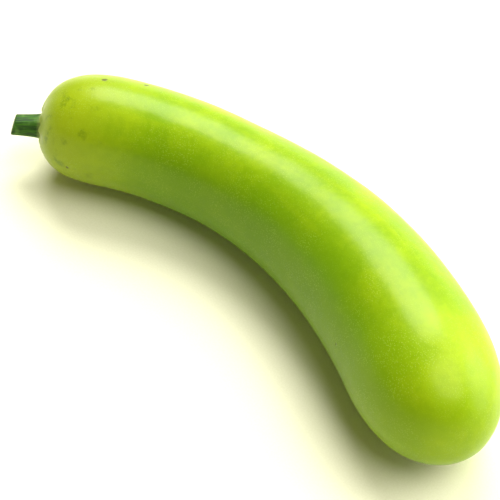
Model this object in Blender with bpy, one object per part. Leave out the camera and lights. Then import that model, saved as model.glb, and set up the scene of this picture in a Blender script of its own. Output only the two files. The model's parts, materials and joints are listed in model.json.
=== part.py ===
"""A bottle gourd lying on its side, with the short cut stem still on its neck.

Run it with: blender --background --python part.py

Metres, +Z up. The gourd rests on the plane z = 0 and the origin is the middle of its footprint.
+X runs along the gourd from the stem to the blossom end, and the gourd bows out towards +Y.
"""

import math

import bmesh
import bpy
import numpy as np

# Driving dimensions of the fruit.
FRUIT_LENGTH = 0.374         # along the bent centre line, from the stem seat to the blossom end
NECK_RADIUS = 0.0347
BELLY_RADIUS = 0.0420
NECK_ENDS_AT = 0.30          # shares of the length between which the neck swells into the belly
BELLY_STARTS_AT = 0.78
BEND = math.radians(77)      # how far the centre line turns from one end to the other
BEND_SKEW = math.radians(4.4)  # extra turn early on, so the bend is tighter near the stem
NECK_CAP = 0.050             # length over which each end rounds off, and how square it is
NECK_SQUARENESS = 2.7
NECK_TIP_ASKEW = 0.0035      # how far the neck's tip sits towards the hollow side, and below the line
NECK_TIP_DROP = 0.0018
BLOSSOM_CAP = 0.067
BLOSSOM_SQUARENESS = 2.3
BLOSSOM_TIP_ASKEW = 0.0028   # how far the blossom tip sits towards the outside of the bend
REST_FLAT = 0.0005           # how far the skin is pressed flat where the gourd lies

# Driving dimensions of the stem and the dish that it grows from.
DISH_RADIUS = 0.0128
DISH_DEPTH = 0.0015
SEAT_RADIUS = 0.0092
STEM_GAP = 0.0003
STEM_LENGTH = 0.0195
STEM_FOOT_RADIUS = 0.0086
STEM_WAIST_RADIUS = 0.0069
STEM_CUT_RADIUS = 0.0064
STEM_RIBS = 5
STEM_RIB_DEPTH = 0.07        # share of the radius
STEM_CUT_SLANT = math.radians(17)  # the underside is left longer than the top

# How finely the surfaces are divided.
FRUIT_RINGS = 54
FRUIT_SIDES = 40
STEM_RINGS = 9
STEM_SIDES = 30


def smooth_step(value):
    value = np.clip(value, 0.0, 1.0)
    return value * value * (3 - 2 * value)


def body_radius(along):
    """The fruit's radius at a distance along the centre line, before its ends round off."""
    share = (along / FRUIT_LENGTH - NECK_ENDS_AT) / (BELLY_STARTS_AT - NECK_ENDS_AT)
    return NECK_RADIUS + (BELLY_RADIUS - NECK_RADIUS) * smooth_step(share)


def heading(along):
    """The centre line's direction in plan, counter-clockwise from +X, which is its mean."""
    share = along / FRUIT_LENGTH
    return BEND * (0.5 - share) - BEND_SKEW * (np.sin(math.pi * share) - 2 / math.pi)


def centre_line(along):
    """Points on the centre line in plan, found by adding up short steps of the heading."""
    fine = np.linspace(0.0, FRUIT_LENGTH, 801)
    middle = (fine[1:] + fine[:-1]) / 2
    step = np.diff(fine)
    x = np.concatenate([[0.0], np.cumsum(np.cos(heading(middle)) * step)])
    y = np.concatenate([[0.0], np.cumsum(np.sin(heading(middle)) * step)])
    return np.interp(along, fine, x), np.interp(along, fine, y)


def rounded_end(cap_length, squareness, first_radius):
    """Distances from the tip, and shares of the full radius, round a superelliptic end."""
    angle = np.linspace(math.asin(first_radius ** (squareness / 2)), math.pi / 2, 60)
    share = np.sin(angle) ** (2 / squareness)
    return cap_length * (1 - np.cos(angle) ** (2 / squareness)), share


def fruit_profile():
    """Distances along the centre line and radii, from the rim of the stem seat to the blossom tip."""
    along, share = rounded_end(NECK_CAP, NECK_SQUARENESS, SEAT_RADIUS / NECK_RADIUS)
    radius = body_radius(along) * share
    dish = DISH_DEPTH * (1 - smooth_step((radius - SEAT_RADIUS) / (DISH_RADIUS - SEAT_RADIUS)))
    neck = np.stack([along + dish, radius], 1)
    middle = np.linspace(NECK_CAP, FRUIT_LENGTH - BLOSSOM_CAP, 60)[1:-1]
    trunk = np.stack([middle, body_radius(middle)], 1)
    from_tip, share = rounded_end(BLOSSOM_CAP, BLOSSOM_SQUARENESS, 0.0)
    along = FRUIT_LENGTH - from_tip
    blossom = np.stack([along, body_radius(along) * share], 1)[::-1]
    return evenly_spaced(np.concatenate([neck, trunk, blossom]), FRUIT_RINGS)


def evenly_spaced(points, count):
    """The same outline, with its points at equal distances along it."""
    run = np.concatenate([[0.0], np.cumsum(np.hypot(*np.diff(points, axis=0).T))])
    wanted = np.linspace(0.0, run[-1], count)
    return np.stack([np.interp(wanted, run, column) for column in points.T], 1)


def lathe(rings, start, end):
    """A closed mesh from rings of points, all of one size, between two end points."""
    shape = bmesh.new()
    loops = [[shape.verts.new(point) for point in ring] for ring in rings]
    tips = [shape.verts.new(start), shape.verts.new(end)]
    sides = len(loops[0])
    for side in range(sides):
        after = (side + 1) % sides
        for near, far in zip(loops, loops[1:]):
            shape.faces.new([near[side], near[after], far[after], far[side]])
        shape.faces.new([tips[0], loops[0][after], loops[0][side]])
        shape.faces.new([tips[1], loops[-1][side], loops[-1][after]])
    bmesh.ops.recalc_face_normals(shape, faces=shape.faces)
    return shape


def rest_height(along):
    """The centre line's height, which keeps the whole underside pressed slightly flat."""
    return body_radius(along) - REST_FLAT


def ring_points(along, radius, across, up):
    """Points given across, towards the hollow side, and up from the middle of the fruit's ring there.

    The ring's middle leaves the centre line as the ring shrinks, because both tips grew askew.
    """
    missing = 1 - radius / body_radius(along)
    if along < FRUIT_LENGTH / 2:
        across = across + NECK_TIP_ASKEW * missing
        up = up - NECK_TIP_DROP * missing
    else:
        across = across - BLOSSOM_TIP_ASKEW * missing
    x, y = centre_line(along)
    facing = heading(along)
    height = np.maximum(rest_height(along) + up, 0.0)
    return np.stack([x + across * math.sin(facing), y - across * math.cos(facing), height], -1)


def fruit_shape():
    """The fruit: circles round the centre line, cut off level where it lies, and its stem seat."""
    profile = fruit_profile()[:-1]
    turn = (np.arange(FRUIT_SIDES) + 0.5) * 2 * math.pi / FRUIT_SIDES
    rings = []
    for along, radius in profile:
        rings.append(ring_points(along, radius, radius * np.cos(turn), radius * np.sin(turn)))
    seat = ring_points(*profile[0], 0.0, 0.0)
    tip = ring_points(FRUIT_LENGTH, 0.0, 0.0, 0.0)
    return lathe(rings, seat, tip), seat


def stem_radius(share):
    """The stem's mean radius: flared at its foot, and tapering slightly towards the cut."""
    foot = (STEM_FOOT_RADIUS - STEM_WAIST_RADIUS) * math.exp(-6 * share)
    cut = (STEM_CUT_RADIUS - STEM_WAIST_RADIUS) * share**2
    return STEM_WAIST_RADIUS + foot + cut


def stem_shape(seat):
    """The stem: a ribbed stub that leaves the seat straight against the centre line."""
    facing = heading(0.0)
    out = np.array([-math.cos(facing), -math.sin(facing), 0.0])
    side = np.array([-math.sin(facing), math.cos(facing), 0.0])
    up = np.array([0.0, 0.0, 1.0])
    foot = seat + out * STEM_GAP
    turn = np.arange(STEM_SIDES) * 2 * math.pi / STEM_SIDES
    ribs = 1 + STEM_RIB_DEPTH * np.cos(STEM_RIBS * turn)
    rings = []
    for share in np.linspace(0.0, 1.0, STEM_RINGS):
        radius = stem_radius(share) * (1 + (ribs - 1) * smooth_step(share / 0.2))
        slant = -share * math.tan(STEM_CUT_SLANT) * radius * np.sin(turn)
        rings.append(
            foot
            + np.outer(share * STEM_LENGTH + slant, out)
            + np.outer(radius * np.cos(turn), side)
            + np.outer(radius * np.sin(turn), up)
        )
    return lathe(rings, foot, foot + out * STEM_LENGTH)


def material(name, colour, roughness):
    """A plain Principled material."""
    made = bpy.data.materials.new(name)
    made.use_nodes = True
    surface = made.node_tree.nodes["Principled BSDF"]
    surface.inputs["Base Color"].default_value = (*colour, 1.0)
    surface.inputs["Roughness"].default_value = roughness
    surface.inputs["Metallic"].default_value = 0.0
    made.diffuse_color = (*colour, 1.0)
    return made


def add_piece(name, shape, finish, sharp_angle):
    """An object for one piece, shaded smooth except at edges sharper than the angle."""
    mesh = bpy.data.meshes.new(name)
    shape.to_mesh(mesh)
    shape.free()
    mesh.shade_smooth()
    mesh.set_sharp_from_angle(angle=sharp_angle)
    mesh.materials.append(finish)
    piece = bpy.data.objects.new(name, mesh)
    bpy.context.scene.collection.objects.link(piece)
    return piece


def centre_on_footprint(shapes):
    """Moves the shapes together, so that the origin is the middle of their footprint."""
    corners = np.array([vertex.co[:2] for shape in shapes for vertex in shape.verts])
    middle = (corners.min(axis=0) + corners.max(axis=0)) / 2
    for shape in shapes:
        bmesh.ops.translate(shape, vec=(-middle[0], -middle[1], 0.0), verts=shape.verts)


for old in list(bpy.data.objects):
    bpy.data.objects.remove(old)

fruit, stem_seat = fruit_shape()
stem = stem_shape(stem_seat)
centre_on_footprint([fruit, stem])
add_piece("gourd_fruit", fruit, material("gourd_skin", (0.33, 0.52, 0.03), 0.38), math.radians(50))
add_piece("stem_stub", stem, material("stem_green", (0.05, 0.16, 0.02), 0.60), math.radians(40))
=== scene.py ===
# %% [markdown]
# # A bottle gourd and its cut stem
# A bottle gourd is picked young, while its skin is thin, bright and slightly waxy. It has two parts
# that look different: the fruit, which grew as one piece, and the short ribbed stem it was cut with.
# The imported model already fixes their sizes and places. This script gives them their real surfaces,
# and it works in the model's own frame, in metres, with the floor at z = 0.

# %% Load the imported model
import json
import math

import bmesh
import bpy
import numpy as np
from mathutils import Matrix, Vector


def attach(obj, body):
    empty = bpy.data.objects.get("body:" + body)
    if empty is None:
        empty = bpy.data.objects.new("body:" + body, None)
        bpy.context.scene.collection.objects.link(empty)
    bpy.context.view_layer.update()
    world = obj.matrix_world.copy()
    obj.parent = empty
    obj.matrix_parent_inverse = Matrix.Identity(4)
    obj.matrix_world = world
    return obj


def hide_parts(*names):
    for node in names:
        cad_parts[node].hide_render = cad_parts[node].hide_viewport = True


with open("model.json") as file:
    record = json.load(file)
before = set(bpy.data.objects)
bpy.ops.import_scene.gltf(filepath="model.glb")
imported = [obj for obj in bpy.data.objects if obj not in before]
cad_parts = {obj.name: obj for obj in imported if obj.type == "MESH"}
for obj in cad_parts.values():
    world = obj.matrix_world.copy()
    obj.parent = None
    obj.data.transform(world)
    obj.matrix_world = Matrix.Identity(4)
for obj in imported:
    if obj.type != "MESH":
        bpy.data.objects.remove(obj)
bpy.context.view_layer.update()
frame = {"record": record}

# %% [markdown]
# ## The centre line
# Almost everything on a gourd follows one line down its middle: the skin is wrapped round it, the
# stem leaves one end of it and the flower fell off the other. The line could be drawn by hand as a
# curve, but a rule needs fewer numbers. It turns a little with each step, and it lies as high as
# the gourd is thick there, because the whole underside touches the floor. The part's resting mount
# is under the line's middle, so that is where the line is pinned.

# %% The centre line as a rule
LENGTH = 0.374               # along the bend, from the stem's seat to the blossom end
NECK_RADIUS = 0.0347
BELLY_RADIUS = 0.0420
NECK_ENDS_AT, BELLY_STARTS_AT = 0.30, 0.78
BEND = math.radians(77)
BEND_SKEW = math.radians(4.4)
REST_FLAT = 0.0005           # how far the skin is pressed flat on the floor
MIDDLE = Vector(frame["record"]["mounts"][0]["pos_m"])
LINE_STEPS = 2000


def body_radius(share):
    """The gourd's radius at a share of its length, before its ends round off."""
    swell = np.clip((share - NECK_ENDS_AT) / (BELLY_STARTS_AT - NECK_ENDS_AT), 0, 1)
    return NECK_RADIUS + (BELLY_RADIUS - NECK_RADIUS) * swell * swell * (3 - 2 * swell)


def heading(share):
    """The line's direction in plan, counter-clockwise from +X."""
    return BEND * (0.5 - share) - BEND_SKEW * (np.sin(math.pi * share) - 2 / math.pi)


def centre_line(shares):
    """Points of the line at shares of its length, found by adding up many short steps."""
    fine = np.linspace(0, 1, LINE_STEPS + 1)
    facing = heading((fine[1:] + fine[:-1]) / 2)
    steps = np.stack([np.cos(facing), np.sin(facing)], 1) * LENGTH / LINE_STEPS
    walked = np.concatenate([[[0, 0]], np.cumsum(steps, axis=0)])
    walked += np.array(MIDDLE[:2]) - walked[LINE_STEPS // 2]
    x, y = (np.interp(shares, fine, column) for column in walked.T)
    return np.stack([x, y, body_radius(shares) - REST_FLAT], 1)


STEM_END, BLOSSOM_END = (Vector(point) for point in centre_line(np.array([0.0, 1.0])))
print("the line runs from", [round(c, 4) for c in STEM_END], "to", [round(c, 4) for c in BLOSSOM_END])

# %% [markdown]
# ## The camera
# The camera looks down on the gourd from in front of its hollow side, with a long lens, which keeps
# the near end from looking swollen. Its place is worked out from two angles, a distance and the
# point it looks at, so that each can be changed alone.

# %% Camera
VIEW_TURN = math.radians(46.7)    # how far round from the gourd's hollow side
VIEW_RISE = math.radians(50)
VIEW_DISTANCE = 1.156
LENS_MM = 140.5
LOOK_AT = MIDDLE + Vector((-0.0103, -0.0347, 0.030))


def seen_from(turn, rise):
    """The direction towards a viewer, from a turn round the object and a height angle."""
    level = math.cos(rise)
    return Vector((math.sin(turn) * level, -math.cos(turn) * level, math.sin(rise)))


camera_data = bpy.data.cameras.new("camera")
camera_data.sensor_width = 36
camera_data.lens = LENS_MM
camera_data.clip_start, camera_data.clip_end = 0.05, 20
camera = bpy.data.objects.new("camera", camera_data)
bpy.context.scene.collection.objects.link(camera)
to_camera = seen_from(VIEW_TURN, VIEW_RISE)
camera.location = LOOK_AT + to_camera * VIEW_DISTANCE
camera.rotation_euler = to_camera.to_track_quat("Z", "Y").to_euler()
bpy.context.scene.camera = camera
print("the camera stands at", [round(c, 3) for c in camera.location])

# %% [markdown]
# ## Helpers for node trees
# The skin's shape and all the finishes are node trees. Built by hand they take hundreds of clicks.
# Built in a script they take a few helpers: one feeds a socket either a number or another node's
# output, one adds a node, and the rest write sums nearly the way a formula is written.

# %% Helpers that add nodes
ROWS = 12                    # nodes in a column, so that a tree opened by hand is not one heap


def feed(tree, socket, value):
    """Links an output to the socket, or sets the socket to a plain value."""
    if isinstance(value, bpy.types.NodeSocket):
        tree.links.new(value, socket)
    else:
        socket.default_value = value


def add(tree, kind, inputs=None, **settings):
    """Adds a node, with its settings and what goes into its inputs, by name or by number."""
    made = tree.nodes.new(kind)
    column, row = divmod(len(tree.nodes), ROWS)
    made.location = (240 * column, -170 * row)
    for name, value in settings.items():
        setattr(made, name, value)
    for name, value in (inputs or {}).items():
        feed(tree, made.inputs[name], value)
    return made


# %% Helpers that write sums
def maths(tree, operation, *values):
    """One sum: maths(tree, "POWER", a, b)."""
    return add(tree, "ShaderNodeMath", dict(enumerate(values)), operation=operation).outputs[0]


def chained(tree, operation, values):
    """The same sum over a row of values, from left to right."""
    result = values[0]
    for value in values[1:]:
        result = maths(tree, operation, result, value)
    return result


def plus(tree, *values):
    return chained(tree, "ADD", values)


def minus(tree, first, second):
    return maths(tree, "SUBTRACT", first, second)


def times(tree, *values):
    return chained(tree, "MULTIPLY", values)


def over(tree, first, second):
    return maths(tree, "DIVIDE", first, second)


def ramp(tree, value, low, high, to_low=0.0, to_high=1.0):
    """Maps a value from one range to another, smoothly, and stops at its ends."""
    inputs = {"Value": value, "From Min": low, "From Max": high, "To Min": to_low, "To Max": to_high}
    return add(tree, "ShaderNodeMapRange", inputs, interpolation_type="SMOOTHSTEP").outputs["Result"]


def vector_maths(tree, operation, *values, output="Vector"):
    """One sum on vectors; a length or a distance is its output "Value"."""
    made = add(tree, "ShaderNodeVectorMath", operation=operation)
    sockets = [socket for socket in made.inputs if socket.enabled]
    for socket, value in zip(sockets, values):
        feed(tree, socket, value)
    return made.outputs[output]


def joined(tree, x=0.0, y=0.0, z=0.0):
    """A vector from three numbers."""
    return add(tree, "ShaderNodeCombineXYZ", {"X": x, "Y": y, "Z": z}).outputs[0]


def parts_of(tree, vector):
    """The three numbers of a vector."""
    return add(tree, "ShaderNodeSeparateXYZ", {0: vector}).outputs


# %% [markdown]
# ## The skin as a tree with named sizes
# The fruit is nearly round in section, so a lathe comes to mind, but its axis is bent and a lathe's
# is not. Geometry Nodes suit it better: a flat grid is rolled up round the centre line, each of its
# rings as wide as the rule says. Every size that somebody might want to change is an input with a
# name, and the numbers stand here in one list, so that the tree itself holds none of them.

# %% Named inputs of the skin tree
SKIN_SIZES = {
    "Length": LENGTH,
    "Rest flat": REST_FLAT,
    "Neck cap": 0.050,            # length over which the end rounds off
    "Neck squareness": 2.7,       # 2 is an ellipse, more is blunter
    "Neck tip askew": 0.0035,     # how far the tip sits towards the hollow side
    "Neck tip drop": 0.0018,
    "Blossom cap": 0.067,
    "Blossom squareness": 2.3,
    "Blossom tip askew": 0.0028,  # how far the tip sits towards the outside of the bend
    "Seat radius": 0.0092,
    "Dish radius": 0.0128,
    "Dish depth": 0.0015,
    "Lip height": 0.0008,
    "Lip radius": 0.0108,
    "Lip width": 0.0015,
    "Lump height": 0.0011,
    "Lump size": 0.075,
    "Dimple height": 0.00016,
    "Dimple size": 0.013,
    "Rib height": 0.00009,
    "Rib count": 10.0,
    "Fold height": 0.0006,
    "Fold count": 10.0,
    "Fold reach": 0.022,          # ring radius at which the folds have died out
    "Scar radius": 0.0038,
    "Scar rise": 0.0005,
    "Scar pit": 0.0009,
}
SKIN_RINGS, SKIN_SIDES = 401, 144


def new_tree(name, sizes, others):
    """An empty geometry tree with named inputs; others maps a name to its socket type."""
    tree = bpy.data.node_groups.new(name, "GeometryNodeTree")
    tree.is_modifier = True
    sockets = tree.interface
    sockets.new_socket(name="Geometry", in_out="INPUT", socket_type="NodeSocketGeometry")
    sockets.new_socket(name="Geometry", in_out="OUTPUT", socket_type="NodeSocketGeometry")
    for label, value in sizes.items():
        made = sockets.new_socket(name=label, in_out="INPUT", socket_type="NodeSocketFloat")
        made.default_value = value
    for label, kind in others.items():
        sockets.new_socket(name=label, in_out="INPUT", socket_type=kind)
    return tree


skin_tree = new_tree(
    "Gourd skin", SKIN_SIZES,
    {"Scar place": "NodeSocketVector", "Finish": "NodeSocketMaterial"},
)
entry = add(skin_tree, "NodeGroupInput")
size = {label: entry.outputs[label] for label in SKIN_SIZES}
print("the skin tree has", len(size), "named sizes")

# %% [markdown]
# ## A flat grid that knows its place
# Before the grid is rolled up, each of its points writes down two things: the share of the gourd's
# length where its ring goes, and its angle round the ring. Stored as attributes they stay readable
# after the points have moved. The rings are closer together near both ends, where the surface turns
# quickly, and a cosine spaces them like that.

# %% The grid and its stored values
def store(tree, geometry, label, value, kind="FLOAT"):
    """Keeps a value on every point under a name, for later steps and for the material."""
    made = add(tree, "GeometryNodeStoreNamedAttribute", {"Geometry": geometry}, data_type=kind)
    made.inputs["Name"].default_value = label
    feed(tree, made.inputs["Value"], value)
    return made.outputs["Geometry"]


def stored(tree, label):
    """Reads a number that was kept under a name."""
    made = add(tree, "GeometryNodeInputNamedAttribute", data_type="FLOAT")
    made.inputs["Name"].default_value = label
    return made.outputs["Attribute"]


flat = add(skin_tree, "GeometryNodeMeshGrid", {"Vertices X": SKIN_RINGS, "Vertices Y": SKIN_SIDES + 1})
on_grid = parts_of(skin_tree, add(skin_tree, "GeometryNodeInputPosition").outputs[0])
half_turn = times(skin_tree, plus(skin_tree, on_grid["X"], 0.5), math.pi)
crowded = maths(skin_tree, "MULTIPLY_ADD", maths(skin_tree, "COSINE", half_turn), -0.5, 0.5)
grid = store(skin_tree, flat.outputs["Mesh"], "share", crowded)
grid = store(skin_tree, grid, "angle", times(skin_tree, on_grid["Y"], 2 * math.pi))
share, angle = stored(skin_tree, "share"), stored(skin_tree, "angle")

# %% [markdown]
# ## Rolling the grid round the centre line
# Sample Curve gives the centre line's place and direction at each ring. Crossed with straight up,
# the direction gives the sideways one, and cosine and sine of the angle do the rest. Both ends
# round off as superellipses, which are blunter than half circles. As a ring shrinks its middle
# also slides off the line, because both tips of this fruit grew a little askew.

# %% Where each point goes
path = add(skin_tree, "GeometryNodeMeshToCurve", {"Mesh": entry.outputs["Geometry"]}).outputs[0]
on_path = add(skin_tree, "GeometryNodeSampleCurve", {"Curves": path, "Factor": share}, mode="FACTOR")
centre = on_path.outputs["Position"]
level = vector_maths(skin_tree, "MULTIPLY", on_path.outputs["Tangent"], (1.0, 1.0, 0.0))
forward = vector_maths(skin_tree, "NORMALIZE", level)
across = vector_maths(skin_tree, "CROSS_PRODUCT", forward, (0.0, 0.0, 1.0))


def rounding(tree, distance, cap, squareness):
    """The share of the full radius left at a distance from an end: a superellipse."""
    inward = minus(tree, 1.0, maths(tree, "MINIMUM", over(tree, distance, cap), 1.0))
    curved = minus(tree, 1.0, maths(tree, "POWER", inward, squareness))
    return maths(tree, "POWER", curved, over(tree, 1.0, squareness))


from_stem = times(skin_tree, share, size["Length"])
from_blossom = minus(skin_tree, size["Length"], from_stem)
neck_round = rounding(skin_tree, from_stem, size["Neck cap"], size["Neck squareness"])
blossom_round = rounding(skin_tree, from_blossom, size["Blossom cap"], size["Blossom squareness"])
full_radius = plus(skin_tree, parts_of(skin_tree, centre)["Z"], size["Rest flat"])
radius = times(skin_tree, full_radius, neck_round, blossom_round)
section_x = times(skin_tree, radius, maths(skin_tree, "COSINE", angle))
section_y = times(skin_tree, radius, maths(skin_tree, "SINE", angle))

# %% The askew tips, and the rolled grid
neck_lost = minus(skin_tree, 1.0, neck_round)
blossom_lost = minus(skin_tree, 1.0, blossom_round)
slide = minus(
    skin_tree,
    times(skin_tree, neck_lost, size["Neck tip askew"]),
    times(skin_tree, blossom_lost, size["Blossom tip askew"]),
)
sideways = vector_maths(skin_tree, "SCALE", across, plus(skin_tree, section_x, slide))
sunk = times(skin_tree, neck_lost, size["Neck tip drop"])
upward = joined(skin_tree, z=minus(skin_tree, section_y, sunk))
rolled = vector_maths(skin_tree, "ADD", vector_maths(skin_tree, "ADD", centre, sideways), upward)

# %% [markdown]
# ## The dish and the lip round the stem
# The fruit draws in where the stem grips it and swells into a low lip round that dish. Both depend
# only on how far a point is from the end's middle, so they are two sums of the ring's radius: a
# smooth step for the dish and a bell curve for the lip. After that the grid's two long edges meet,
# and merging by distance closes the seam and the two poles.

# %% Dish, lip and the closed skin
STEM_SIDE = (0.2, 0.1)       # shares of the length between which the stem's own details set in
MERGE_WITHIN = 1e-6

stem_side = ramp(skin_tree, share, *STEM_SIDE)
in_dish = times(skin_tree, ramp(skin_tree, radius, size["Dish radius"], size["Seat radius"]), stem_side)
from_lip = over(skin_tree, minus(skin_tree, radius, size["Lip radius"]), size["Lip width"])
bell = maths(skin_tree, "EXPONENT", times(skin_tree, from_lip, from_lip, -1.0))
lip = times(skin_tree, bell, size["Lip height"], stem_side)
inward = minus(skin_tree, times(skin_tree, in_dish, size["Dish depth"]), lip)
dished = vector_maths(skin_tree, "ADD", rolled, vector_maths(skin_tree, "SCALE", forward, inward))

skin_grid = add(skin_tree, "GeometryNodeSetPosition", {"Geometry": grid, "Position": dished})
kept = store(skin_tree, skin_grid.outputs["Geometry"], "ring_radius", radius)
unbent = joined(skin_tree, section_x, section_y, from_stem)
kept = store(skin_tree, kept, "straight", unbent, "FLOAT_VECTOR")
merged = add(skin_tree, "GeometryNodeMergeByDistance", {"Geometry": kept, "Distance": MERGE_WITHIN})
closed = merged.outputs[0]

# %% [markdown]
# ## Small relief on the skin
# These are the things that tell a grown surface from a turned one: slow lumps, shallow dimples,
# faint ribs along the fruit and folds that gather round the stem. The relief is a height along the
# skin's normal. Lumps and dimples are noise, which reads the place in space and so has no seam.
# Ribs and folds are cosines of the angle, with noise in their phase, because nothing that grows is
# even. The ribs die out before both poles, where they would meet in a star, and nothing rises in
# the seat, where the stem has to fit.

# %% Relief along the normal
RIB_FADE = (0.014, 0.030)    # ring radii between which the ribs die out towards a pole
PHASE_NOISE_SIZE = 0.09
PHASE_WANDER = 2.5           # radians
FOLD_WANDER = 0.4            # the folds wander this much as far as the ribs do


def noise_height(tree, place, feature, height, detail):
    """Noise of about the given feature size, from -height to +height."""
    inputs = {"Vector": place, "Scale": over(tree, 1.0, feature), "Detail": detail}
    made = add(tree, "ShaderNodeTexNoise", inputs).outputs[0]
    return times(tree, minus(tree, made, 0.5), height, 2.0)


spot = add(skin_tree, "GeometryNodeInputPosition").outputs[0]
ring_radius = stored(skin_tree, "ring_radius")
lumps = noise_height(skin_tree, spot, size["Lump size"], size["Lump height"], 1.0)
dimples = noise_height(skin_tree, spot, size["Dimple size"], size["Dimple height"], 2.0)
wander = noise_height(skin_tree, spot, PHASE_NOISE_SIZE, PHASE_WANDER, 1.0)

rib_wave = maths(skin_tree, "COSINE", maths(skin_tree, "MULTIPLY_ADD", angle, size["Rib count"], wander))
ribs = times(skin_tree, rib_wave, size["Rib height"], ramp(skin_tree, ring_radius, *RIB_FADE))
fold_wander = times(skin_tree, wander, FOLD_WANDER)
fold_turn = maths(skin_tree, "MULTIPLY_ADD", angle, size["Fold count"], fold_wander)
fold_fade = ramp(skin_tree, ring_radius, size["Fold reach"], size["Dish radius"])
fold_wave = maths(skin_tree, "COSINE", fold_turn)
folds = times(skin_tree, fold_wave, size["Fold height"], fold_fade, stem_side)

at_seat = ramp(skin_tree, ring_radius, size["Dish radius"], size["Seat radius"])
out_of_seat = minus(skin_tree, 1.0, times(skin_tree, at_seat, stem_side))
relief = times(skin_tree, plus(skin_tree, lumps, dimples, ribs, folds), out_of_seat)

# %% [markdown]
# ## The scar of the flower
# The flower fell off the far end and left a dry button about as wide as a pea, with a raised rim
# and a small pit. On this fruit it sits low on the end, just under the side that shows. Its height
# is a function of the distance from one point, so it can sit anywhere without its own mesh.

# %% Scar, and the values that the finish will read
BUTTON_EDGE, PIT_EDGE, TAN_EDGE = (1.3, 0.8), (0.75, 0.2), (1.15, 0.85)  # in scar radii
COLLAR_EDGE = (0.028, 0.013)  # ring radii between which the pale collar round the stem sets in

from_scar = vector_maths(skin_tree, "DISTANCE", spot, entry.outputs["Scar place"], output="Value")
scar_share = over(skin_tree, from_scar, size["Scar radius"])
button = ramp(skin_tree, scar_share, *BUTTON_EDGE, 0.0, size["Scar rise"])
pit = ramp(skin_tree, scar_share, *PIT_EDGE, 0.0, size["Scar pit"])
relief = plus(skin_tree, relief, minus(skin_tree, button, pit))

normal = add(skin_tree, "GeometryNodeInputNormal").outputs["Normal"]
raised = add(
    skin_tree, "GeometryNodeSetPosition",
    {"Geometry": closed, "Offset": vector_maths(skin_tree, "SCALE", normal, relief)},
).outputs["Geometry"]
marked = store(skin_tree, raised, "scar", ramp(skin_tree, scar_share, *TAN_EDGE))
near_stem = times(skin_tree, ramp(skin_tree, ring_radius, *COLLAR_EDGE), stem_side)
marked = store(skin_tree, marked, "collar", near_stem)

# %% [markdown]
# ## Lying down, and the end of the tree
# Relief may push a few points through the floor, so every point is lifted back to it, which also
# gives the narrow level strip that a heavy fruit rests on. The tree then ends as every tree here
# does: shade smooth, realize, and set the material that came in by name.

# %% Pressed level, smoothed and given its finish
now = parts_of(skin_tree, add(skin_tree, "GeometryNodeInputPosition").outputs[0])
pressed = joined(skin_tree, now["X"], now["Y"], maths(skin_tree, "MAXIMUM", now["Z"], 0.0))
rested = add(skin_tree, "GeometryNodeSetPosition", {"Geometry": marked, "Position": pressed})
smooth = add(skin_tree, "GeometryNodeSetShadeSmooth", {"Geometry": rested.outputs["Geometry"]})
whole = add(skin_tree, "GeometryNodeRealizeInstances", {"Geometry": smooth.outputs["Geometry"]})
coated = add(
    skin_tree, "GeometryNodeSetMaterial",
    {"Geometry": whole.outputs["Geometry"], "Material": entry.outputs["Finish"]},
)
add(skin_tree, "NodeGroupOutput", {"Geometry": coated.outputs["Geometry"]})
print("the skin tree has", len(skin_tree.nodes), "nodes")

# %% [markdown]
# ## Helpers for finishes
# A finish is a tree too. Its colour starts plain and is blended with one thing after another, each
# through a mask from 0 to 1. The masks come from noise, from round spots and from the values that
# the shape tree stored.

# %% Helpers for finishes
def new_finish(label):
    """A material with only its Principled surface, its tree, and that surface's node."""
    made = bpy.data.materials.new(label)
    made.use_nodes = True
    return made, made.node_tree, made.node_tree.nodes["Principled BSDF"]


def mix(tree, factor, first, second):
    """Blends two colours; each is an output or a plain (r, g, b)."""
    made = add(tree, "ShaderNodeMix", data_type="RGBA")
    feed(tree, made.inputs[0], factor)
    for socket, value in ((made.inputs[6], first), (made.inputs[7], second)):
        feed(tree, socket, (*value, 1.0) if isinstance(value, tuple) else value)
    return made.outputs[2]


def attribute(tree, label, output="Fac"):
    """A value that the shape stored on its points."""
    return add(tree, "ShaderNodeAttribute", attribute_name=label).outputs[output]


def noise(tree, place, scale, detail=2.0, roughness=0.5):
    """Noise from 0 to 1, mostly near a half; scale is features per metre."""
    inputs = {"Vector": place, "Scale": scale, "Detail": detail, "Roughness": roughness}
    return add(tree, "ShaderNodeTexNoise", inputs).outputs[0]


def spots(tree, place, scale, edge, middle):
    """Round spots, 1 in the middle and 0 outside, and a random colour for each."""
    cells = add(tree, "ShaderNodeTexVoronoi", {"Vector": place, "Scale": scale})
    return ramp(tree, cells.outputs["Distance"], edge, middle), cells.outputs["Color"]


def bump(tree, height, depth, under=None):
    """Tilts the surface's normal by a height from 0 to 1 that stands for a depth in metres."""
    inputs = {"Height": height, "Distance": depth, "Strength": 1.0}
    if under:
        inputs["Normal"] = under
    return add(tree, "ShaderNodeBump", inputs).outputs["Normal"]
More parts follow.
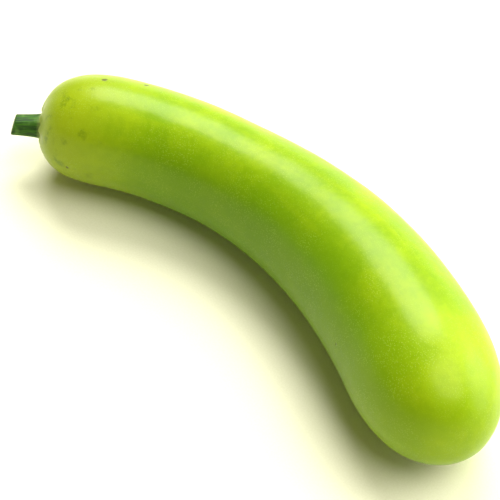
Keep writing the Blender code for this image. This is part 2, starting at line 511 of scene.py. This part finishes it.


# %% [markdown]
# ## The skin's colours
# A young gourd's skin is bright yellow-green. Close up it is a mosaic: slow patches of deeper and
# yellower green, faint stripes along the fruit and a fine mottle. The neck is duller and yellower
# than the belly, with smudges where it rubbed against its own stalk. Past the neck, the hollow side
# is given a deeper green: painted shade, for the dark band that the light leaves along that side.
# The far end is the yellowest. The patches read the place in space. The rest reads the place on a
# straightened gourd, which the shape tree kept as "straight", so it follows the bend.

# %% Colours of the skin
# The first green below is painted shade for the hollow side. The other colours are the skin's own.
PAINTED_SHADE_GREEN = (0.110, 0.240, 0.001)
DEEP_GREEN = (0.120, 0.250, 0.001)
FRESH_GREEN = (0.250, 0.410, 0.002)
YELLOW_GREEN = (0.390, 0.500, 0.006)
NECK_GREEN = (0.300, 0.370, 0.008)
SMUDGE_OLIVE = (0.110, 0.190, 0.003)
PALE_PORE = (0.420, 0.560, 0.080)
COLLAR_GREEN = (0.350, 0.430, 0.120)
SPECK_BROWN = (0.070, 0.070, 0.012)
SCAR_TAN = (0.240, 0.190, 0.080)
PATCH_SCALE, MOTTLE_SCALE = 22.0, 260.0
STRIPE_SCALE = (95.0, 95.0, 9.0)  # across, across and along the fruit
SMUDGE_SCALE = 85.0
NECK_PART, SMUDGED_PART = (0.085, 0.010), (0.070, 0.020)  # distances from the stem's seat
# Where the painted shade lies: past the neck's tip, and towards the hollow side from the middle.
PAINTED_SHADE_PART, YELLOW_PART = (0.01, 0.11), (0.27, 0.37)
PAINTED_SHADE_SIDE = (-0.008, 0.026)     # distances from the middle towards the hollow side


def skin_colour(tree, place, straight, mottle):
    """The green of the skin before anything is dotted on it."""
    patches = noise(tree, place, PATCH_SCALE, 3.0, 0.55)
    stripes = noise(tree, vector_maths(tree, "MULTIPLY", straight, STRIPE_SCALE), 1.0, 3.0, 0.6)
    colour = mix(tree, ramp(tree, patches, 0.34, 0.66), DEEP_GREEN, YELLOW_GREEN)
    colour = mix(tree, 0.62, colour, FRESH_GREEN)
    colour = mix(tree, ramp(tree, stripes, 0.50, 0.72, 0.0, 0.25), colour, YELLOW_GREEN)
    colour = mix(tree, ramp(tree, mottle, 0.38, 0.60, 0.22, 0.0), colour, DEEP_GREEN)

    unbent = parts_of(tree, straight)
    from_neck_tip = unbent["Z"]
    # Painted shade: the hollow side is darkened to a deeper green, standing for the dark band the light
    # leaves there.
    to_hollow = maths(tree, "MULTIPLY_ADD", unbent["Y"], -0.3, unbent["X"])
    painted_shade = times(tree, ramp(tree, to_hollow, *PAINTED_SHADE_SIDE), ramp(tree, from_neck_tip, *PAINTED_SHADE_PART))
    colour = mix(tree, times(tree, painted_shade, 0.8), colour, PAINTED_SHADE_GREEN)
    colour = mix(tree, ramp(tree, from_neck_tip, *YELLOW_PART, 0.0, 0.25), colour, YELLOW_GREEN)
    neck = ramp(tree, from_neck_tip, *NECK_PART, 0.0, 0.75)
    colour = mix(tree, neck, colour, NECK_GREEN)
    smudges = times(
        tree,
        ramp(tree, noise(tree, place, SMUDGE_SCALE, 4.0, 0.65), 0.54, 0.72, 0.0, 0.70),
        ramp(tree, from_neck_tip, *SMUDGED_PART),
    )
    return mix(tree, smudges, colour, SMUDGE_OLIVE)


# %% [markdown]
# ## Pores, specks and wax
# Thousands of pale pores dot the skin, each about half a millimetre wide, and a few brown specks
# mark where it was nicked. Three nicks are on the neck, where the fruit was handled. Over it all
# lies a thin wax, which is a soft coat with its own roughness. The gloss under the coat is tinted,
# which keeps the green from greying where the skin mirrors the floor. The flesh under the skin is
# wet, so a little light goes in and comes out again beside the place where it entered.

# %% Skin finish
PORE_SCALE, SPECK_SCALE, FINE_SCALE = 1050.0, 34.0, 900.0
SPECK_SHARE = (0.60, 0.62)   # of all the cells, the ones above this have a speck
MOTTLE_DEPTH, PORE_DEPTH, SPECK_DEPTH = 0.00008, 0.00004, 0.0002
# Share of the length, degrees up from the hollow side, and width of each nick.
NICKS = [(0.102, 110, 0.0019), (0.165, 121, 0.0018), (0.065, -5, 0.0012)]


def on_skin(share_there, degrees):
    """A point on the full skin, by its share of the length and its angle up from the hollow side."""
    centre_there = Vector(centre_line(np.array([share_there]))[0])
    facing, turn = heading(share_there), math.radians(degrees)
    hollow_way = Vector((math.sin(facing), -math.cos(facing), 0))
    ring = body_radius(share_there) * end_share(share_there * LENGTH)
    return centre_there + hollow_way * ring * math.cos(turn) + Vector((0, 0, ring * math.sin(turn)))


def end_share(distance):
    """The share of the full radius at a distance from the neck's tip."""
    cap, squareness = SKIN_SIZES["Neck cap"], SKIN_SIZES["Neck squareness"]
    return (1 - max(0.0, 1 - distance / cap) ** squareness) ** (1 / squareness)


def speck_mask(tree, place):
    """Brown specks: a few of the cells of a coarse pattern, and the nicks at their own places."""
    specks, kind = spots(tree, place, SPECK_SCALE, 0.050, 0.025)
    mask = times(tree, specks, ramp(tree, parts_of(tree, kind)["X"], *SPECK_SHARE))
    ragged = noise(tree, place, FINE_SCALE, 2.0)
    for share_there, degrees, width in NICKS:
        away = vector_maths(tree, "DISTANCE", place, on_skin(share_there, degrees), output="Value")
        away = over(tree, away, times(tree, plus(tree, ragged, 0.5), width))
        mask = maths(tree, "MAXIMUM", mask, ramp(tree, away, 1.2, 0.6))
    return mask


def skin_finish():
    made, tree, surface = new_finish("gourd skin")
    place = add(tree, "ShaderNodeTexCoord").outputs["Object"]
    mottle = noise(tree, place, MOTTLE_SCALE, 4.0, 0.65)
    colour = skin_colour(tree, place, attribute(tree, "straight", "Vector"), mottle)

    fine, _ = spots(tree, place, PORE_SCALE, 0.36, 0.16)
    in_patches = ramp(tree, noise(tree, place, 60.0), 0.35, 0.65, 0.10, 0.45)
    colour = mix(tree, times(tree, fine, in_patches), colour, PALE_PORE)
    colour = mix(tree, times(tree, attribute(tree, "collar"), 0.75), colour, COLLAR_GREEN)
    specks = speck_mask(tree, place)
    colour = mix(tree, times(tree, specks, 0.85), colour, SPECK_BROWN)
    scar = attribute(tree, "scar")
    feed(tree, surface.inputs["Base Color"], mix(tree, scar, colour, SCAR_TAN))

    rough = ramp(tree, mottle, 0.3, 0.7, 0.34, 0.44)
    feed(tree, surface.inputs["Roughness"], plus(tree, rough, times(tree, scar, 0.3)))
    surface.inputs["Specular IOR Level"].default_value = 0.16
    surface.inputs["Specular Tint"].default_value = (0.85, 1.0, 0.25, 1.0)
    surface.inputs["Subsurface Weight"].default_value = 0.15
    surface.inputs["Subsurface Radius"].default_value = (0.5, 1.0, 0.1)
    surface.inputs["Subsurface Scale"].default_value = 0.004
    surface.inputs["Coat Weight"].default_value = 0.20
    surface.inputs["Coat Roughness"].default_value = 0.24

    relief_normal = bump(tree, mottle, MOTTLE_DEPTH)
    relief_normal = bump(tree, fine, PORE_DEPTH, relief_normal)
    relief_normal = bump(tree, minus(tree, 1.0, specks), SPECK_DEPTH, relief_normal)
    feed(tree, surface.inputs["Normal"], relief_normal)
    return made


# %% [markdown]
# ## Growing the skin
# The tree needs something to start from, and that is the centre line as a row of joined points. It
# runs once as a modifier on that row. Its result is then copied into a plain mesh and the modifier
# is taken off, so that what is left is an ordinary object.

# %% Grow the skin
SCAR_DROP = 0.030            # the flower's scar sits this far below the end of the centre line
LINE_POINTS = 601


def path_mesh(label, points):
    """A mesh of points joined in a row."""
    made = bpy.data.meshes.new(label)
    joints = [(i, i + 1) for i in range(len(points) - 1)]
    made.from_pydata([tuple(point) for point in points], joints, [])
    return made


def grown(label, tree, start, values):
    """Runs a tree on a mesh and returns an object that holds the plain result."""
    piece = bpy.data.objects.new(label, start)
    bpy.context.scene.collection.objects.link(piece)
    modifier = piece.modifiers.new("shape", "NODES")
    modifier.node_group = tree
    for item in tree.interface.items_tree:
        if item.item_type == "SOCKET" and item.in_out == "INPUT" and item.name in values:
            modifier[item.identifier] = values[item.name]
    graph = bpy.context.evaluated_depsgraph_get()
    mesh = bpy.data.meshes.new_from_object(piece.evaluated_get(graph))
    piece.modifiers.clear()
    piece.data = mesh
    print(label, "has", len(mesh.polygons), "faces")
    return piece


def end_depth(radius_there, full, cap, squareness):
    """How far from the tip a rounded end has grown to a radius."""
    return cap * (1 - (1 - (radius_there / full) ** squareness) ** (1 / squareness))


blossom_facing = heading(1.0)
out_of_blossom = Vector((math.cos(blossom_facing), math.sin(blossom_facing), 0))
scar_back = end_depth(
    SCAR_DROP, BELLY_RADIUS, SKIN_SIZES["Blossom cap"], SKIN_SIZES["Blossom squareness"]
)
scar_place = BLOSSOM_END - out_of_blossom * scar_back - Vector((0, 0, SCAR_DROP))

skin = grown(
    "gourd_skin", skin_tree, path_mesh("centre line", centre_line(np.linspace(0, 1, LINE_POINTS))),
    {**SKIN_SIZES, "Scar place": tuple(scar_place), "Finish": skin_finish()},
)
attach(skin, "root")
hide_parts("gourd_fruit")

# %% [markdown]
# ## Where the stem stands
# The stem is what the fruit hung from. It stands on the floor of the dish and points straight out
# against the centre line. Its foot is worked out from the same rule as the skin's end, so the two
# always meet.

# %% Stem sizes and its foot
STEM_LENGTH = 0.0195
STEM_GAP = 0.0003
FOOT_RADIUS, WAIST_RADIUS, CUT_RADIUS = 0.0086, 0.0069, 0.0064
RIDGES = 5
CUT_SLANT = math.radians(17)  # the underside is left longer than the top

seat_radius = SKIN_SIZES["Seat radius"]
seat_depth = SKIN_SIZES["Dish depth"] + end_depth(
    seat_radius, NECK_RADIUS, SKIN_SIZES["Neck cap"], SKIN_SIZES["Neck squareness"]
)
stem_facing = heading(0.0)
OUT = -Vector((math.cos(stem_facing), math.sin(stem_facing), 0))
HOLLOW_WAY = Vector((math.sin(stem_facing), -math.cos(stem_facing), 0))
seat_lost = 1 - seat_radius / NECK_RADIUS
FOOT = STEM_END + OUT * (STEM_GAP - seat_depth)
FOOT += HOLLOW_WAY * SKIN_SIZES["Neck tip askew"] * seat_lost
FOOT.z -= SKIN_SIZES["Neck tip drop"] * seat_lost
print("the stem's foot is at", [round(1000 * c, 1) for c in FOOT], "mm")

# %% [markdown]
# ## The stem's shape
# The stem is tough and dark green, with five rounded ridges and fine fibres. It was cut with a
# knife, a little aslant, and the cut has dried: its rim stands up and the soft pith in the middle
# has sunk. It is built as rings of points, each worked out from its place along the stem, because
# the ridges, the flare and the cut face are then all plain formulas.

# %% Rings up the side
STEM_SIDES = 120
SIDE_RINGS, CUT_RINGS = 56, 16
EDGE_ROUND = 0.0004
TWIST = 0.25                 # radians from foot to cut


def stem_radius(rise, turn):
    """The radius at a share of the stem's length: flare, taper, ridges and fine fibres."""
    radius_there = WAIST_RADIUS + (FOOT_RADIUS - WAIST_RADIUS) * math.exp(-6 * rise)
    radius_there += (CUT_RADIUS - WAIST_RADIUS) * rise**2
    turn = turn + TWIST * rise
    ridges = 0.055 * np.cos(RIDGES * turn) + 0.015 * np.cos(2 * RIDGES * turn + 0.8)
    fibres = 0.010 * np.cos(23 * turn + 2 * rise) + 0.008 * np.cos(41 * turn - 3 * rise)
    return radius_there * (1 + ridges + fibres)


def ring(reach, radius_there, turn):
    """A ring's points as (out, across, up), slanted as the knife went."""
    slant = -(reach / STEM_LENGTH) * math.tan(CUT_SLANT) * radius_there * np.sin(turn)
    return np.stack([reach + slant, radius_there * np.cos(turn), radius_there * np.sin(turn)], 1)


def side_rings(turn):
    rings = []
    for rise in np.linspace(0, 1, SIDE_RINGS):
        edge = EDGE_ROUND * max(0.0, (rise - 0.97) / 0.03) ** 2
        rings.append(ring(rise * STEM_LENGTH, stem_radius(rise, turn) - edge, turn))
    return rings


# %% Rings across the cut face
RIM_RISE = 0.00025
FACE_SINK, PITH_SINK = 0.0006, 0.0011
FACE_RIPPLE = 0.00012


def cut_rings(turn):
    """The dried cut, from its rim inwards: a raised edge, a sunk face and a deeper pith."""
    rim = stem_radius(1.0, turn) - EDGE_ROUND
    rings = []
    for inward_share in np.linspace(0, 1, CUT_RINGS)[1:-1]:
        face = FACE_SINK * min(1.0, inward_share / 0.35) ** 2
        pith = PITH_SINK / (1 + math.exp(-22 * (inward_share - 0.72)))
        edge = RIM_RISE * math.exp(-(((inward_share - 0.10) / 0.08) ** 2))
        ripple = FACE_RIPPLE * np.cos(17 * turn) * math.sin(math.pi * inward_share)
        made = ring(STEM_LENGTH, rim * (1 - inward_share), turn)
        made[:, 0] += edge - face - pith + ripple
        rings.append(made)
    return rings


# %% Joining the rings
def stem_piece(finish):
    turn = np.arange(STEM_SIDES) * 2 * math.pi / STEM_SIDES
    rings = [(0.0, points) for points in side_rings(turn)]
    rings += [(1.0, points) for points in cut_rings(turn)]
    shape = bmesh.new()
    on_cut = shape.verts.layers.float.new("cut")
    unbent_stem = shape.verts.layers.float_vector.new("straight")

    def point(reach, side, up, face):
        made = shape.verts.new(FOOT + OUT * reach + HOLLOW_WAY * side + Vector((0, 0, up)))
        made[on_cut] = face
        made[unbent_stem] = (side, up, reach)
        return made

    loops = [[point(*place, face) for place in points] for face, points in rings]
    foot = point(0.0, 0.0, 0.0, 0.0)
    pith = point(float(rings[-1][1][:, 0].mean()), 0.0, 0.0, 1.0)
    for side in range(STEM_SIDES):
        after = (side + 1) % STEM_SIDES
        for near, far in zip(loops, loops[1:]):
            shape.faces.new([near[side], near[after], far[after], far[side]])
        shape.faces.new([foot, loops[0][after], loops[0][side]])
        shape.faces.new([pith, loops[-1][side], loops[-1][after]])
    bmesh.ops.recalc_face_normals(shape, faces=shape.faces)
    mesh = bpy.data.meshes.new("stem")
    shape.to_mesh(mesh)
    shape.free()
    mesh.shade_smooth()
    mesh.materials.append(finish)
    made = bpy.data.objects.new("stem", mesh)
    bpy.context.scene.collection.objects.link(made)
    return made


# %% [markdown]
# ## The stem's finish
# The side is dark green with long pale fibres, and it fades to the fruit's green at its foot. The
# cut face is greyish: a pale ring of woody fibres round a brown pith. Whether a point is on the cut
# is stored with the shape, so one material can hold both.

# %% Stem finish
STEM_GREEN = (0.042, 0.150, 0.002)
STEM_DARK = (0.010, 0.045, 0.001)
STEM_LIGHT = (0.130, 0.270, 0.040)
CUT_RIM = (0.200, 0.240, 0.110)
CUT_PITH = (0.120, 0.110, 0.050)
FIBRE_SCALE = (900.0, 900.0, 60.0)
GRAIN_SCALE, PALE_SCALE = 1400.0, 160.0
FIBRE_DEPTH, GRAIN_DEPTH = 0.00022, 0.00006
FOOT_PART = (0.0045, 0.0005)  # distances from the stem's foot between which it pales


def cut_colour(tree, straight, grain):
    """The dried cut: pith, woody ring and green rind, by the distance from the stem's middle."""
    on_face = parts_of(tree, straight)
    off_axis = vector_maths(tree, "LENGTH", joined(tree, on_face["X"], on_face["Y"]), output="Value")
    woody = times(tree, ramp(tree, off_axis, 0.0028, 0.0040), ramp(tree, off_axis, 0.0060, 0.0050))
    colour = mix(tree, woody, CUT_PITH, CUT_RIM)
    return mix(tree, ramp(tree, grain, 0.4, 0.7, 0.0, 0.6), colour, STEM_GREEN)


def stem_finish():
    made, tree, surface = new_finish("stem")
    straight = attribute(tree, "straight", "Vector")
    fibres = noise(tree, vector_maths(tree, "MULTIPLY", straight, FIBRE_SCALE), 1.0, 4.0, 0.6)
    grain = noise(tree, straight, GRAIN_SCALE, 3.0)
    colour = mix(tree, ramp(tree, fibres, 0.35, 0.65), STEM_DARK, STEM_GREEN)
    pale_patches = ramp(tree, noise(tree, straight, PALE_SCALE), 0.50, 0.75, 0.0, 0.5)
    colour = mix(tree, pale_patches, colour, STEM_LIGHT)
    foot = ramp(tree, parts_of(tree, straight)["Z"], *FOOT_PART, 0.0, 0.7)
    colour = mix(tree, foot, colour, COLLAR_GREEN)
    colour = mix(tree, attribute(tree, "cut"), colour, cut_colour(tree, straight, grain))
    feed(tree, surface.inputs["Base Color"], colour)
    feed(tree, surface.inputs["Roughness"], ramp(tree, fibres, 0.3, 0.7, 0.48, 0.68))
    surface.inputs["Specular IOR Level"].default_value = 0.30
    surface.inputs["Sheen Weight"].default_value = 0.04
    surface.inputs["Sheen Roughness"].default_value = 0.4
    relief_normal = bump(tree, fibres, FIBRE_DEPTH)
    feed(tree, surface.inputs["Normal"], bump(tree, grain, GRAIN_DEPTH, relief_normal))
    return made


stem = stem_piece(stem_finish())
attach(stem, "root")
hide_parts("stem_stub")
print("the stem has", len(stem.data.polygons), "faces")

# %% [markdown]
# ## The floor
# The gourd lies on a plain pale floor, as on a sheet of warm white paper. A single large face is
# enough. In full light it is plain white, and its warmth shows only where a shadow falls on it.

# %% Floor
FLOOR_HALF = 4.0
FLOOR_DROP = 0.0001          # keeps the floor just clear of the flat underside
WARM_WHITES = (0.86, 0.84, 0.61), (0.89, 0.87, 0.65)


def floor_finish():
    made, tree, surface = new_finish("floor")
    place = add(tree, "ShaderNodeTexCoord").outputs["Object"]
    grain = ramp(tree, noise(tree, place, FINE_SCALE, 3.0), 0.3, 0.7)
    feed(tree, surface.inputs["Base Color"], mix(tree, grain, *WARM_WHITES))
    surface.inputs["Roughness"].default_value = 0.7
    surface.inputs["Specular IOR Level"].default_value = 0.2
    return made


floor_mesh = bpy.data.meshes.new("floor")
round_the_edge = (-1, -1), (1, -1), (1, 1), (-1, 1)
corners = [(x * FLOOR_HALF, y * FLOOR_HALF, -FLOOR_DROP) for x, y in round_the_edge]
floor_mesh.from_pydata(corners, [], [(0, 1, 2, 3)])
floor_mesh.materials.append(floor_finish())
floor = bpy.data.objects.new("floor", floor_mesh)
bpy.context.scene.collection.objects.link(floor)
print("the floor is", 2 * FLOOR_HALF, "m wide")

# %% [markdown]
# ## Lights
# Four large soft lights stand round the gourd, as in a small studio. The key is high on the
# viewer's right and throws the soft shadow into the hollow. The one behind draws the long pale
# highlight along the gourd's back. The two at the side fill its right flank and its rim. A sun lamp
# with a wide disc gives the same light as a far, large softbox, and lights the floor evenly.

# %% Lights
LIGHTS = {                   # turn from the camera's, rise and width in degrees, and strength
    "key light": (62, 68, 42, 1.9),
    "back light": (176, 50, 36, 3.4),
    "side light": (120, 38, 56, 1.7),
    "rim light": (98, 14, 50, 1.7),
}


def soft_light(label, turn, rise, width, strength):
    data = bpy.data.lights.new(label, "SUN")
    data.angle = math.radians(width)
    data.energy = strength
    made = bpy.data.objects.new(label, data)
    towards = seen_from(VIEW_TURN + math.radians(turn), math.radians(rise))
    made.location = LOOK_AT + towards
    made.rotation_euler = towards.to_track_quat("Z", "Y").to_euler()
    bpy.context.scene.collection.objects.link(made)
    return made


for label, place in LIGHTS.items():
    made_light = soft_light(label, *place)
    print(label, "stands towards", [round(c, 2) for c in made_light.location - LOOK_AT])

# %% [markdown]
# ## The surround
# Beyond the floor there are only pale walls and a dim, warm ceiling. The walls show in the skin's
# rim. The ceiling softens the shadow, and being dim it keeps the green deep.

# %% Surround
WALLS, CEILING = (1.00, 1.00, 0.97), (0.14, 0.13, 0.04)
WALL_TOP, CEILING_FROM = 0.05, 0.35   # heights of a direction, from 0 level to 1 straight up

world = bpy.data.worlds.new("surround")
world.use_nodes = True
sky = world.node_tree
way = parts_of(sky, add(sky, "ShaderNodeTexCoord").outputs["Generated"])
tone = mix(sky, ramp(sky, way["Z"], WALL_TOP, CEILING_FROM), WALLS, CEILING)
feed(sky, sky.nodes["Background"].inputs["Color"], tone)
bpy.context.scene.world = world
bpy.context.scene.view_settings.view_transform = "Standard"
